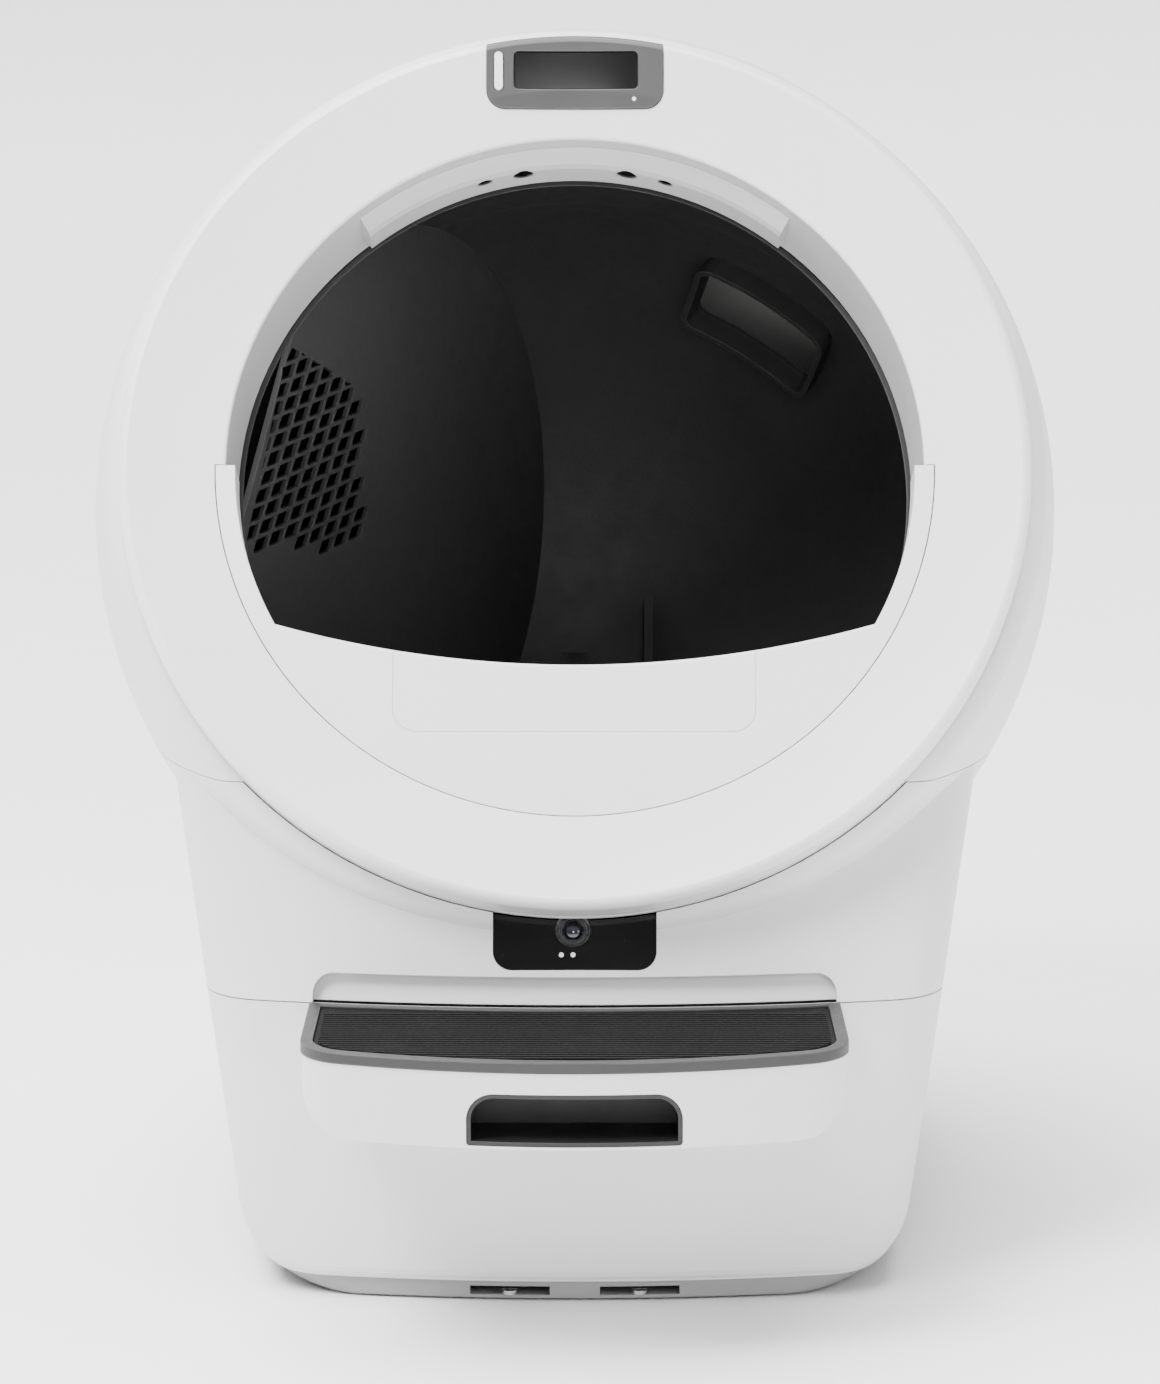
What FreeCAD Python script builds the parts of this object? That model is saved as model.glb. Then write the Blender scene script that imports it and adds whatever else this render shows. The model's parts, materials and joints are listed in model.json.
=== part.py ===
import FreeCAD, Part
import math
import os

from FreeCAD import Placement, Rotation, Vector

# Self-cleaning litter box: a rotating globe inside a hooded housing, over a waste drawer with a step.
# Millimetres. +X right, +Y back, +Z up. Origin: centre of the overall outline, on the floor.
# "Face" places are given as (x, v, s): v climbs the tilted front face, s is the depth behind it.

# ---- driving dimensions ----
TILT = 24.5                # lean of the front face from upright, degrees
FACE_Y = -124.0            # centre of the bezel's outer rim
FACE_Z = 476.0
WALL = 3.0                 # moulded wall
SEAM_GAP = 0.6             # reveal between neighbouring panels
MOVING_GAP = 0.8           # space between pieces that move past each other

DOME_R = 289.0             # hood
DOME_Z = 430.0
DOME_REAR_Y = 46.0         # where the hood starts to close towards the back
DOME_REAR_LENGTH = 305.0
DOME_REAR_POWER = 3.0
SHOULDER_S = 24.3          # depth of the hood's front wall
SHOULDER_FILLET = 10.0
PARTING_Z = 296.0          # hood above, base below
PARTING_GAP = 0.4

BEZEL_R = 266.0
BEZEL_CORNER = 5.5
RING_R = 266.6             # hood's front wall
BEZEL_DISH = 12.0          # how far the opening lies behind the rim
DISH_BELLY = 0.58          # share of the dish at half way
OPENING_R = 204.0
FLANGE = 2.5               # thickness of the collar's fixing flange
COLLAR_BACK_S = 70.0
COLLAR_BACK_R = 201.0

FENCE_R = 210.0
FENCE_EDGE_V = -120.0      # lowest point of the fence's upper edge
FENCE_EDGE_R = 630.0
FENCE_EDGE_ROUND = 2.2
FENCE_S = 11.0
FENCE_LIP_S = 44.0
GROOVE_HALF_WIDTH = 105.0
GROOVE_BOTTOM_V = -161.0
GROOVE_CORNER = 14.0
GROOVE_WIDTH = 1.0
GROOVE_DEPTH = 0.35

BODY_HALF_WIDTH = 188.5    # at the front corners, at floor level
BODY_FLARE = 0.133         # widening per height
BODY_SPLAY = 18.0          # extra half width at the middle of the sides
BODY_WIDEST_Y = 60.0
BODY_FRONT_Y = -231.0
BODY_BACK_Y = 297.0
BODY_BACK_LEAN = 0.03
BODY_FRONT_BOW = 850.0
BODY_BACK_BOW = 900.0
BODY_FRONT_CORNER = 40.0
BODY_BACK_CORNER = 140.0
BODY_BOTTOM_ROUND = 44.0
BODY_FRONT_ROUND = 7.0
BODY_BOTTOM_Z = 12.0
SEAM_Z = 175.0             # top of the drawer front
BODY_TOP_Z = 300.0

GLOBE_S = 201.0            # globe centre, on the bezel's axis
GLOBE_R = 238.0
GLOBE_WALL = 3.0
MOUTH_S = 75.0
TRACK_R = 241.0
TRACK_OFFSET = 34.0
TRACK_WIDTH = 12.0
GEAR_MODULE = 3.0
GEAR_TEETH = 164
PINION_TEETH = 14
GEAR_WIDTH = 14.0
GEAR_BACKLASH = 0.35
ROLLER_R = 15.0
ROLLER_WIDTH = 10.0
ROLLER_ANGLE = 32.0
ROLLER_GAP = 0.35
PIN_R = 3.0
RUNNING_FIT = 0.05
SHAFT_R = 4.0
GEARBOX_HALF = 18.0
GEARBOX_DEPTH = 20.0
MOTOR_R = 15.5
MOTOR_LENGTH = 52.0

SCREEN_TURN = 24.0         # sifting screen: turned from the globe's axis
SCREEN_TURN_RAD = math.radians(SCREEN_TURN)
SCREEN_ROLL = 12.2
SCREEN_OFFSET = -127.4     # its front, from the globe's centre
SCREEN_THICK = 3.0
SCREEN_FRAME_DEPTH = 5.0
SCREEN_FRAME_WIDTH = 9.0
SCREEN_FRAME_FRONT_X = -150.0
SCREEN_MARGIN = 3.0
SCREEN_FRONT_X = -186.0    # the lattice's front end, in the panel's own plane
SCREEN_TOP_Y = 72.0
SCREEN_AREA = ((-205.0, -58.0), (-46.0, -20.0), (-95.0, 78.0), (-205.0, 88.0))
SCREEN_START = (-160.0, 0.0)
CELL_ALONG = (16.2, 8.85)
CELL_UP = (2.1, 12.3)
CELL_BAR = 2.0
CELL_TRIM = 0.16           # share of a side that the cut corners take
CELL_REACH = 14            # cells tried each way from the start

PORT_ANGLE = 56.0          # waste port, round the bezel's axis from +X
PORT_LEAN = 18.0           # and towards the back
PORT_WIDTH = 90.0
PORT_LENGTH = 60.0
PORT_CORNER = 8.0
PORT_FRAME_DEPTH = 14.0

PLATE_INSET = 1.5          # plinth, inside the body's outline
PLATE_RIM = 14.0
PLATE_LOW_Z = 1.5
PLATE_TOP_Z = 8.5
NOTCH_X = (14.5, 60.5)
NOTCH_FLOOR_Z = 3.4
FOOT_X = 128.0
FOOT_Y = (-180.0, 215.0)
FOOT_HEIGHT = 7.5

DECK_Z = 141.0
DECK_THICK = 3.0
CHUTE_HALF_WIDTH = 62.0
CHUTE_Y = (-50.0, 72.0)
CHUTE_CORNER = 12.0
DECK_FRONT_Y = -196.0
RISER_HALF_WIDTH = 150.0   # upright wall at the deck's front edge
RISER_TOP_Z = 197.0

TRAY_HALF_WIDTH = 166.0
TRAY_FRONT_Y = -206.0
TRAY_BACK_Y = 226.0
TRAY_FLOOR_Z = 17.0
TRAY_TOP_Z = 132.0
TRAY_CORNER = 26.0
TRAY_WALL = 2.5
TRAY_RIM = 4.0
DRAWER_SIDE_Y = -150.0     # back edge of the drawer front's side returns

STEP_FRONT_Y = -351.0
STEP_HALF_WIDTH = 151.0
STEP_BOW = 400.0
STEP_CORNER = 32.0
STEP_BOTTOM_Z = 126.0
STEP_BOTTOM_ROUND = 27.0
STEP_TOP_Z = 169.0
TREAD_Z = 175.0
TRIM_WIDTH = 6.0
RIB_COUNT = 22
RIB_HEIGHT = 1.3
MAT_BELOW_TRIM = 1.6
HANDLE_HALF_WIDTH = 59.0
HANDLE_TOP_Z = 157.0
HANDLE_DEPTH = 44.0
HANDLE_CORNER = 15.0
HANDLE_SILL = 1.6         # shell left below the handle recess
LINING_WALL = 2.5

SCOOP_HALF_WIDTH = 150.0
SCOOP_HEIGHT = 16.0
SCOOP_DEPTH = 7.0

WINDOW_HALF_WIDTH = 46.5
WINDOW_BOTTOM_V = -296.0
WINDOW_CORNER = 11.0
LENS_X = -1.0
LENS_V = -272.5
LENS_R = 10.5
LENS_S = 27.6              # front of the lens barrel
LIGHT_X = (-7.6, -1.0)
LIGHT_V = -287.5
LIGHT_R = 1.4

DISPLAY_HALF_WIDTH = 52.5
DISPLAY_BOTTOM_V = 221.5
DISPLAY_CORNER = 11.0
DISPLAY_PROUD = 0.9
SCREEN_X = (-36.0, 37.0)
SCREEN_V = (233.5, 254.5)
KEY_X = -45.5
KEY_V = (232.0, 254.0)
KEY_WIDTH = 5.0
KEY_PROUD = 1.0
LED_X = 35.2
LED_V = 227.2
LED_R = 1.2

POD_HALF_ANGLE = 39.0
POD_R = 194.5
POD_S = (24.0, 57.0)
SENSOR_S = 42.0
SENSORS = ((-54.0, 4.6), (-31.0, 6.2), (31.0, 6.2), (54.0, 4.6))    # place along the pod, radius

HINGE_Y = 340.0
HINGE_Z = 291.0
HINGE_X = 110.0
HINGE_BOSS_R = 6.0
HINGE_PIN_R = 2.5

LATCH_Z = (305.0, 321.0)
LATCH_HALF_LENGTH = 22.0
LATCH_TRAVEL = 4.0

AXIS_X = Vector(1, 0, 0)
AXIS_Y = Vector(0, 1, 0)
AXIS_Z = Vector(0, 0, 1)
ORIGIN = Vector(0, 0, 0)
FACE_PLACE = Placement(Vector(0, FACE_Y, FACE_Z), Rotation(AXIS_X, 90.0 - TILT))
LEAN = math.tan(math.radians(TILT))
SIN_TILT = math.sin(math.radians(TILT))
COS_TILT = math.cos(math.radians(TILT))
FAR = 900.0                # beyond everything
NEAR = 0.01                # two places within this are the same

nodes = {}


# ---- helpers ----
def on_face(shape):
    """Moves a shape built as (x, v, -s) onto the tilted front face."""
    moved = shape.copy()
    moved.Placement = FACE_PLACE.multiply(moved.Placement)
    return moved


def face_point(x, v, s):
    return FACE_PLACE.multVec(Vector(x, v, -s))


def box(x, y, z):
    """Box from three (low, high) pairs."""
    return Part.makeBox(x[1] - x[0], y[1] - y[0], z[1] - z[0], Vector(x[0], y[0], z[0]))


def face_box(x, v, s):
    return on_face(box(x, v, (-s[1], -s[0])))


def face_disc(radius, s, x=0.0, v=0.0):
    return on_face(Part.makeCylinder(radius, s[1] - s[0], Vector(x, v, -s[1])))


def polygon_face(points):
    return Part.Face(Part.makePolygon(points + [points[0]]))


def turned(profile, angle=360.0, start=0.0):
    """Turns an (r, s) outline about the face's axis."""
    face = polygon_face([Vector(r, 0, -s) for r, s in profile])
    solid = face.revolve(ORIGIN, AXIS_Z, angle)
    solid.rotate(ORIGIN, AXIS_Z, start)
    return on_face(solid)


def fuse_all(shapes):
    first = shapes[0]
    return first.multiFuse(shapes[1:]) if len(shapes) > 1 else first


def rounded_outline(x, y, corners, z=0.0):
    """Closed rectangle wire; corners holds the radii of (x0y0, x1y0, x1y1, x0y1)."""
    r00, r10, r11, r01 = corners
    edges = []

    def arc(cx, cy, r, quadrant):
        angle = math.radians(90.0 * quadrant)
        start = Vector(cx + r * math.cos(angle), cy + r * math.sin(angle), z)
        middle = Vector(cx + r * math.cos(angle + math.pi / 4), cy + r * math.sin(angle + math.pi / 4), z)
        end = Vector(cx + r * math.cos(angle + math.pi / 2), cy + r * math.sin(angle + math.pi / 2), z)
        return start, middle, end

    corner_list = [
        (x[0], y[0], r00, 2, 1, 1),
        (x[1], y[0], r10, 3, -1, 1),
        (x[1], y[1], r11, 0, -1, -1),
        (x[0], y[1], r01, 1, 1, -1),
    ]
    ends = []
    for cx, cy, r, quadrant, sx, sy in corner_list:
        if r > 0:
            ends.append(arc(cx + sx * r, cy + sy * r, r, quadrant))
        else:
            ends.append((Vector(cx, cy, z),) * 3)
    for index, (start, middle, end) in enumerate(ends):
        if corner_list[index][2] > 0:
            edges.append(Part.Arc(start, middle, end).toShape())
        following = ends[(index + 1) % 4][0]
        if end.distanceToPoint(following) > 1e-6:
            edges.append(Part.LineSegment(end, following).toShape())
    return Part.Wire(edges)


def rounded_prism(x, y, corners, z):
    return Part.Face(rounded_outline(x, y, corners, z[0])).extrude(Vector(0, 0, z[1] - z[0]))


def face_prism(x, v, corners, s):
    return on_face(rounded_prism(x, v, corners, (-s[1], -s[0])))


def front_prism(x, z, corners, y):
    """Rounded rectangle in the XZ plane, extruded along Y."""
    solid = Part.Face(rounded_outline(x, z, corners)).extrude(Vector(0, 0, y[0] - y[1]))
    solid.rotate(ORIGIN, AXIS_X, 90)
    solid.translate(Vector(0, y[0], 0))
    return solid


def keep(name, shape):
    nodes[name] = shape


# ---- outer form of the body ----
def circle_meeting(c0, r0, c1, r1, pick):
    """Point at r0 from c0 and r1 from c1; pick chooses the side."""
    dx, dy = c1[0] - c0[0], c1[1] - c0[1]
    d = math.hypot(dx, dy)
    along = (r0 * r0 - r1 * r1 + d * d) / (2 * d)
    off = math.sqrt(r0 * r0 - along * along) * pick
    return c0[0] + (along * dx - off * dy) / d, c0[1] + (along * dy + off * dx) / d


def ray_point(centre, through, radius):
    dx, dy = through[0] - centre[0], through[1] - centre[1]
    d = math.hypot(dx, dy)
    return centre[0] + dx * radius / d, centre[1] + dy * radius / d


def arc_between(centre, radius, start, end, z):
    a0 = math.atan2(start[1] - centre[1], start[0] - centre[0])
    a1 = math.atan2(end[1] - centre[1], end[0] - centre[0])
    while a1 < a0:
        a1 += 2 * math.pi
    middle = (a0 + a1) / 2
    mid = Vector(centre[0] + radius * math.cos(middle), centre[1] + radius * math.sin(middle), z)
    return Part.Arc(Vector(start[0], start[1], z), mid, Vector(end[0], end[1], z)).toShape()


def body_outline(z, inset=0.0):
    """Plan outline of the body at a height: bowed front, sides and back with round corners."""
    rise = max(0.0, BODY_BOTTOM_ROUND - z)
    side_round = BODY_BOTTOM_ROUND - math.sqrt(BODY_BOTTOM_ROUND ** 2 - rise ** 2)
    edge = max(0.0, BODY_BOTTOM_Z + BODY_FRONT_ROUND - max(z, BODY_BOTTOM_Z))
    front_round = BODY_FRONT_ROUND - math.sqrt(BODY_FRONT_ROUND ** 2 - edge ** 2)
    half = BODY_HALF_WIDTH + BODY_FLARE * z - side_round - inset
    front_y = BODY_FRONT_Y + max(0.0, z - SEAM_Z) * LEAN + min(front_round, 3.0) + inset
    back_y = BODY_BACK_Y + BODY_BACK_LEAN * z - side_round * 0.4 - inset
    sag_run = BODY_WIDEST_Y - (BODY_FRONT_Y + BODY_FRONT_CORNER)
    side_r = (sag_run ** 2 + BODY_SPLAY ** 2) / (2 * BODY_SPLAY)
    front_bow = BODY_FRONT_BOW - inset
    back_bow = BODY_BACK_BOW - inset
    front_corner = BODY_FRONT_CORNER - inset
    back_corner = BODY_BACK_CORNER - inset
    front_c = (0.0, front_y + front_bow)
    back_c = (0.0, back_y - back_bow)
    right_c = (half + BODY_SPLAY - side_r, BODY_WIDEST_Y)
    corner_f = circle_meeting(front_c, front_bow - front_corner, right_c, side_r - front_corner, -1)
    if corner_f[1] > BODY_WIDEST_Y:
        corner_f = circle_meeting(front_c, front_bow - front_corner, right_c, side_r - front_corner, 1)
    corner_b = circle_meeting(back_c, back_bow - back_corner, right_c, side_r - back_corner, 1)
    if corner_b[1] < BODY_WIDEST_Y:
        corner_b = circle_meeting(back_c, back_bow - back_corner, right_c, side_r - back_corner, -1)
    p1 = ray_point(front_c, corner_f, front_bow)
    p2 = ray_point(right_c, corner_f, side_r)
    p3 = ray_point(right_c, corner_b, side_r)
    p4 = ray_point(back_c, corner_b, back_bow)

    def flip(point):
        return -point[0], point[1]

    left_c = flip(right_c)
    return Part.Wire([
        arc_between(front_c, front_bow, flip(p1), p1, z),
        arc_between(corner_f, front_corner, p1, p2, z),
        arc_between(right_c, side_r, p2, p3, z),
        arc_between(corner_b, back_corner, p3, p4, z),
        arc_between(back_c, back_bow, p4, flip(p4), z),
        arc_between(flip(corner_b), back_corner, flip(p4), flip(p3), z),
        arc_between(left_c, side_r, flip(p3), flip(p2), z),
        arc_between(flip(corner_f), front_corner, flip(p2), flip(p1), z),
    ])


ROUND_STEPS = 9


def body_form(low, high, inset=0.0):
    """Solid body between two heights, with finer slices through the rounded bottom edge."""
    heights = [low]
    for step in range(1, ROUND_STEPS):
        z = BODY_BOTTOM_Z + (BODY_BOTTOM_ROUND - BODY_BOTTOM_Z) * (step / ROUND_STEPS) ** 1.5
        if low + 0.4 < z < high - 0.4:
            heights.append(z)
    for z in (BODY_BOTTOM_ROUND, SEAM_Z):
        if low + 0.4 < z < high - 0.4:
            heights.append(z)
    heights.append(high)
    return Part.makeLoft([body_outline(z, inset) for z in heights], True, True)


def dome_form(inset=0.0, front_s=SHOULDER_S, fillet=SHOULDER_FILLET):
    """The hood's round form, cut flat by the plane of its front wall."""
    radius = DOME_R - inset
    length = DOME_REAR_LENGTH - inset
    front_y = FACE_Y + (FACE_Z - DOME_Z) / math.tan(math.radians(TILT))
    start = Vector(0, front_y - radius, 0)
    middle = Vector(0, front_y - radius * math.sqrt(0.5), radius * math.sqrt(0.5))
    top = Vector(0, front_y, radius)
    rear_top = Vector(0, DOME_REAR_Y, radius)
    steps = 14
    rear = []
    for index in range(steps + 1):
        t = math.pi / 2 * index / steps
        rear.append(Vector(
            0,
            DOME_REAR_Y + length * math.sin(t) ** (2 / DOME_REAR_POWER),
            radius * max(0.0, math.cos(t)) ** (2 / DOME_REAR_POWER),
        ))
    rear[0] = rear_top
    rear[-1] = Vector(0, DOME_REAR_Y + length, 0)
    curve = Part.BSplineCurve()
    curve.interpolate(Points=rear, InitialTangent=Vector(0, 1, 0), FinalTangent=Vector(0, 0, -1))
    wire = Part.Wire([
        Part.Arc(start, middle, top).toShape(),
        Part.LineSegment(top, rear_top).toShape(),
        curve.toShape(),
        Part.LineSegment(rear[-1], start).toShape(),
    ])
    solid = Part.Face(wire).revolve(ORIGIN, AXIS_Y, 360)
    solid.translate(Vector(0, 0, DOME_Z))
    solid = solid.cut(face_box((-FAR, FAR), (-FAR, FAR), (front_s - FAR, front_s)))
    if fillet > 0:
        rims = [edge for edge in solid.Edges if edge_on_plane(edge, front_s)]
        solid = solid.makeFillet(fillet, rims)
    return solid


def points_on_edge(edge):
    """Points along an edge, in face places (x, v, -s)."""
    inverse = FACE_PLACE.inverse()
    span = edge.LastParameter - edge.FirstParameter
    places = (0.01, 0.25, 0.5, 0.75, 0.99)
    return [inverse.multVec(edge.valueAt(edge.FirstParameter + k * span)) for k in places]


def edge_on_plane(edge, s):
    return all(abs(-point.z - s) < NEAR for point in points_on_edge(edge))


ABOVE_PARTING = box((-FAR, FAR), (-FAR, FAR), (PARTING_Z + PARTING_GAP / 2, FAR))
ABOVE_DECK = box((-FAR, FAR), (-FAR, FAR), (DECK_Z + DECK_THICK, FAR))
BELOW_PARTING = box((-FAR, FAR), (-FAR, FAR), (-FAR, PARTING_Z - PARTING_GAP / 2))


# ---- hood ----
def hood_parts():
    outer = dome_form()
    inner = dome_form(WALL, SHOULDER_S + WALL, 0.0)
    shell = outer.cut(inner)
    shell = shell.cut(face_disc(OPENING_R + 8, (0, 90)))
    shell = shell.common(ABOVE_PARTING)
    front_ring = turned([
        (OPENING_R + 8, SHOULDER_S), (RING_R, SHOULDER_S),
        (RING_R, SHOULDER_S + WALL), (OPENING_R + 8, SHOULDER_S + WALL)])
    shell = shell.fuse(front_ring)
    for side in (-1, 1):
        shell = shell.cut(latch_pocket(side))
    keep("hood_shell", shell)
    keep("bezel", bezel())
    keep("entry_collar", entry_collar())
    keep("sensor_pod", sensor_pod())
    keep("sensor_windows", sensor_windows())
    keep("hood_gasket", hood_gasket())
    display_parts()
    hood_hinge(outer)
    for side, name in ((-1, "left"), (1, "right")):
        keep("latch_" + name, latch(side))


def bezel():
    rim = BEZEL_R
    corner = BEZEL_CORNER
    groove = 1.5
    back = SHOULDER_S
    inner_r = OPENING_R
    slope_mid = ((rim - corner + inner_r) / 2, BEZEL_DISH * DISH_BELLY)
    lip = BEZEL_DISH + WALL

    diagonal = corner * math.sqrt(0.5)

    def arc(start, middle, end):
        return Part.Arc(*[Vector(r, 0, -s) for r, s in (start, middle, end)]).toShape()

    rim_top = (rim - corner, 0)
    dish_end = (inner_r + 1.5, BEZEL_DISH - 0.4)
    nose_end = (inner_r, BEZEL_DISH + 1.6)
    back_line = [
        nose_end, (inner_r, lip), (inner_r + 5, lip), (rim - corner, WALL + 1), (rim - WALL - 1, corner + 1),
        (rim - WALL - 1, back), (rim - groove, back), (rim - groove, back - groove), (rim, back - groove),
        (rim, corner)]
    edges = [
        arc((rim, corner), (rim - corner + diagonal, corner - diagonal), rim_top),
        arc(rim_top, slope_mid, dish_end),
        arc(dish_end, (inner_r + 0.4, BEZEL_DISH + 0.3), nose_end),
    ]
    for start, end in zip(back_line, back_line[1:]):
        edges.append(Part.LineSegment(Vector(start[0], 0, -start[1]), Vector(end[0], 0, -end[1])).toShape())
    ring = on_face(Part.Face(Part.Wire(edges)).revolve(ORIGIN, AXIS_Z, 360))
    seat = face_disc(FENCE_R + SEAM_GAP / 2, (-20, 23)).common(
        face_box((-FAR, FAR), (-FAR, SEAM_GAP), (-20, 23)))
    ring = ring.cut(seat)
    gap = 0.3
    ring = ring.cut(face_prism(
        (-DISPLAY_HALF_WIDTH - gap, DISPLAY_HALF_WIDTH + gap), (DISPLAY_BOTTOM_V - gap, FAR / 3),
        (DISPLAY_CORNER, DISPLAY_CORNER, 0, 0), (-20, 18)))
    return ring


def entry_collar():
    """Tube that leads from the bezel to the globe's mouth, with a flange behind the hood's front wall."""
    start = BEZEL_DISH + WALL + 0.3
    flange = SHOULDER_S + WALL
    return turned([
        (OPENING_R, start), (OPENING_R + WALL, start), (OPENING_R + WALL, flange),
        (OPENING_R + 22, flange), (OPENING_R + 22, flange + FLANGE), (OPENING_R + WALL, flange + FLANGE),
        (COLLAR_BACK_R + WALL, COLLAR_BACK_S), (COLLAR_BACK_R, COLLAR_BACK_S)])


def collar_inner_r(s):
    start = BEZEL_DISH + WALL + 0.3
    return OPENING_R + (COLLAR_BACK_R - OPENING_R) * (s - start) / (COLLAR_BACK_S - start)


def sensor_pod():
    front, back = POD_S
    lead = 9.0
    pod = turned([
        (collar_inner_r(front) - 0.05, front), (POD_R + 1.5, front + lead), (POD_R, front + lead + 4),
        (POD_R, back), (collar_inner_r(back) - 0.05, back)],
        2 * POD_HALF_ANGLE, 90 - POD_HALF_ANGLE)
    for x, radius in SENSORS:
        pod = pod.cut(pod_plug(x, radius + 0.2, POD_R - 2, 4.5))
    return pod


def pod_plug(x, radius, start_r, length):
    """Cylinder that points out from the face's axis, through the pod's inner skin."""
    angle = math.acos(x / POD_R)
    direction = Vector(math.cos(angle), math.sin(angle), 0)
    place = direction * start_r + Vector(0, 0, -SENSOR_S)
    return on_face(Part.makeCylinder(radius, length, place, direction))


def sensor_windows():
    return Part.makeCompound([pod_plug(x, radius, POD_R + 1.0, 1.5) for x, radius in SENSORS])


def hood_gasket():
    """Soft ring between the collar's flange and the globe chamber."""
    r = OPENING_R + 15
    s = SHOULDER_S + WALL + FLANGE
    return turned([(r - 5, s), (r + 5, s), (r + 3, s + 5), (r - 3, s + 5)])


def display_band(proud, depth):
    """Ring that follows the bezel's dished face, between two depths."""
    rim = BEZEL_R
    shoulder = rim - BEZEL_CORNER
    edge = BEZEL_DISH - 1.2
    middle = (shoulder + OPENING_R) / 2
    face = [(rim - 0.2, BEZEL_CORNER + 2), (rim - 0.8, 2.6), (rim - 2.6, 0.8), (shoulder, 0),
            (middle, BEZEL_DISH * DISH_BELLY), (OPENING_R + 6, edge)]
    back = [(OPENING_R + 6, edge + depth), (rim - 5.2, depth), (rim - 5.2, 14.0), (rim - 0.2, 14.0)]
    return turned([(r, s - proud) for r, s in face] + back)


def display_cutter(x, v, corner, grow=0.0):
    """Rounded bar straight through the display's face."""
    corners = (corner + grow,) * 4
    return face_prism((x[0] - grow, x[1] + grow), (v[0] - grow, v[1] + grow), corners, (-20, 40))


def display_parts():
    prism = face_prism((-DISPLAY_HALF_WIDTH, DISPLAY_HALF_WIDTH), (DISPLAY_BOTTOM_V, FAR / 3),
                       (DISPLAY_CORNER, DISPLAY_CORNER, 0, 0), (-20, 40))
    housing = display_band(DISPLAY_PROUD, 7.5).common(prism)
    pocket = display_band(8.0, 2.0).common(display_cutter(SCREEN_X, SCREEN_V, 2.5, 0.6))
    half = KEY_WIDTH / 2
    key_x = (KEY_X - half, KEY_X + half)
    slot = display_cutter(key_x, KEY_V, half - 0.01, 0.4)
    led_hole = face_disc(LED_R + 0.1, (-20, 12), LED_X, LED_V)
    keep("display_housing", housing.cut(pocket).cut(slot).cut(led_hole))
    keep("display_screen", display_band(0.1, 1.9).common(display_cutter(SCREEN_X, SCREEN_V, 2.5)))
    led = face_disc(LED_R, (-20, 13), LED_X, LED_V)
    keep("status_led", led.common(display_band(DISPLAY_PROUD - 0.1, 5.0)))
    key = display_cutter(key_x, KEY_V, half - 0.01)
    keep("display_key", key.common(display_band(DISPLAY_PROUD + KEY_PROUD, 5.0)))


def hood_hinge(dome_outer):
    """Knuckles on the hood turn on pins held by the base's ears."""
    knuckles = []
    ears = []
    pins = []
    body = body_form(SEAM_Z, BODY_TOP_Z)
    web_z = (HINGE_Z - HINGE_BOSS_R, HINGE_Z + 3)
    for side in (-1, 1):
        x = side * HINGE_X
        barrel = Part.makeCylinder(HINGE_BOSS_R, 11, Vector(x - 5.5, HINGE_Y, HINGE_Z), AXIS_X)
        arm = box((x - 5.5, x + 5.5), (HINGE_Y - 24, HINGE_Y + 3), (PARTING_Z + 1, PARTING_Z + 12))
        post = box((x - 5.5, x + 5.5), (HINGE_Y - 4, HINGE_Y + 3), (HINGE_Z, PARTING_Z + 3))
        knuckle = barrel.multiFuse([arm, post]).cut(dome_outer)
        bore = Part.makeCylinder(HINGE_PIN_R + RUNNING_FIT, 20, Vector(x - 10, HINGE_Y, HINGE_Z), AXIS_X)
        knuckles.append(knuckle.cut(bore))
        for offset in (-12.5, 6.5):
            boss = Part.makeCylinder(HINGE_BOSS_R, 6, Vector(x + offset, HINGE_Y, HINGE_Z), AXIS_X)
            web = box((x + offset, x + offset + 6), (HINGE_Y - 50, HINGE_Y), web_z)
            hole = Part.makeCylinder(HINGE_PIN_R, 40, Vector(x - 20, HINGE_Y, HINGE_Z), AXIS_X)
            ears.append(boss.fuse(web).cut(body).cut(dome_outer).cut(hole))
        pins.append(Part.makeCylinder(HINGE_PIN_R, 26, Vector(x - 13, HINGE_Y, HINGE_Z), AXIS_X))
    keep("hood_knuckles", Part.makeCompound(knuckles))
    keep("hinge_ears", Part.makeCompound(ears))
    keep("hinge_pins", Part.makeCompound(pins))


def latch_pocket(side):
    x = (200.0, 320.0) if side > 0 else (-320.0, -200.0)
    return side_prism(x, 0.5)


def side_prism(x, grow):
    """Rounded bar along X with the latch button's outline."""
    outline = rounded_outline((-LATCH_HALF_LENGTH - grow, LATCH_HALF_LENGTH + grow),
                              (LATCH_Z[0] - grow, LATCH_Z[1] + grow), (5.0 + grow,) * 4)
    solid = Part.Face(outline).extrude(Vector(0, 0, x[1] - x[0]))
    solid.rotate(ORIGIN, Vector(1, 1, 1), 120)
    solid.translate(Vector(x[0], 0, 0))
    return solid


def latch(side):
    x = (200.0, 320.0) if side > 0 else (-320.0, -200.0)
    skin = dome_form(-0.8, -20.0, 0.0).cut(dome_form(WALL + 4.0, -20.0, 0.0))
    return skin.common(side_prism(x, 0.0))


# ---- fence ----
def fence_top(radius_shift=0.0):
    """Space above the fence's curved upper edge."""
    centre_v = FENCE_EDGE_V + FENCE_EDGE_R
    return on_face(Part.makeCylinder(FENCE_EDGE_R + radius_shift, 120, Vector(0, centre_v, -100)))


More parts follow.
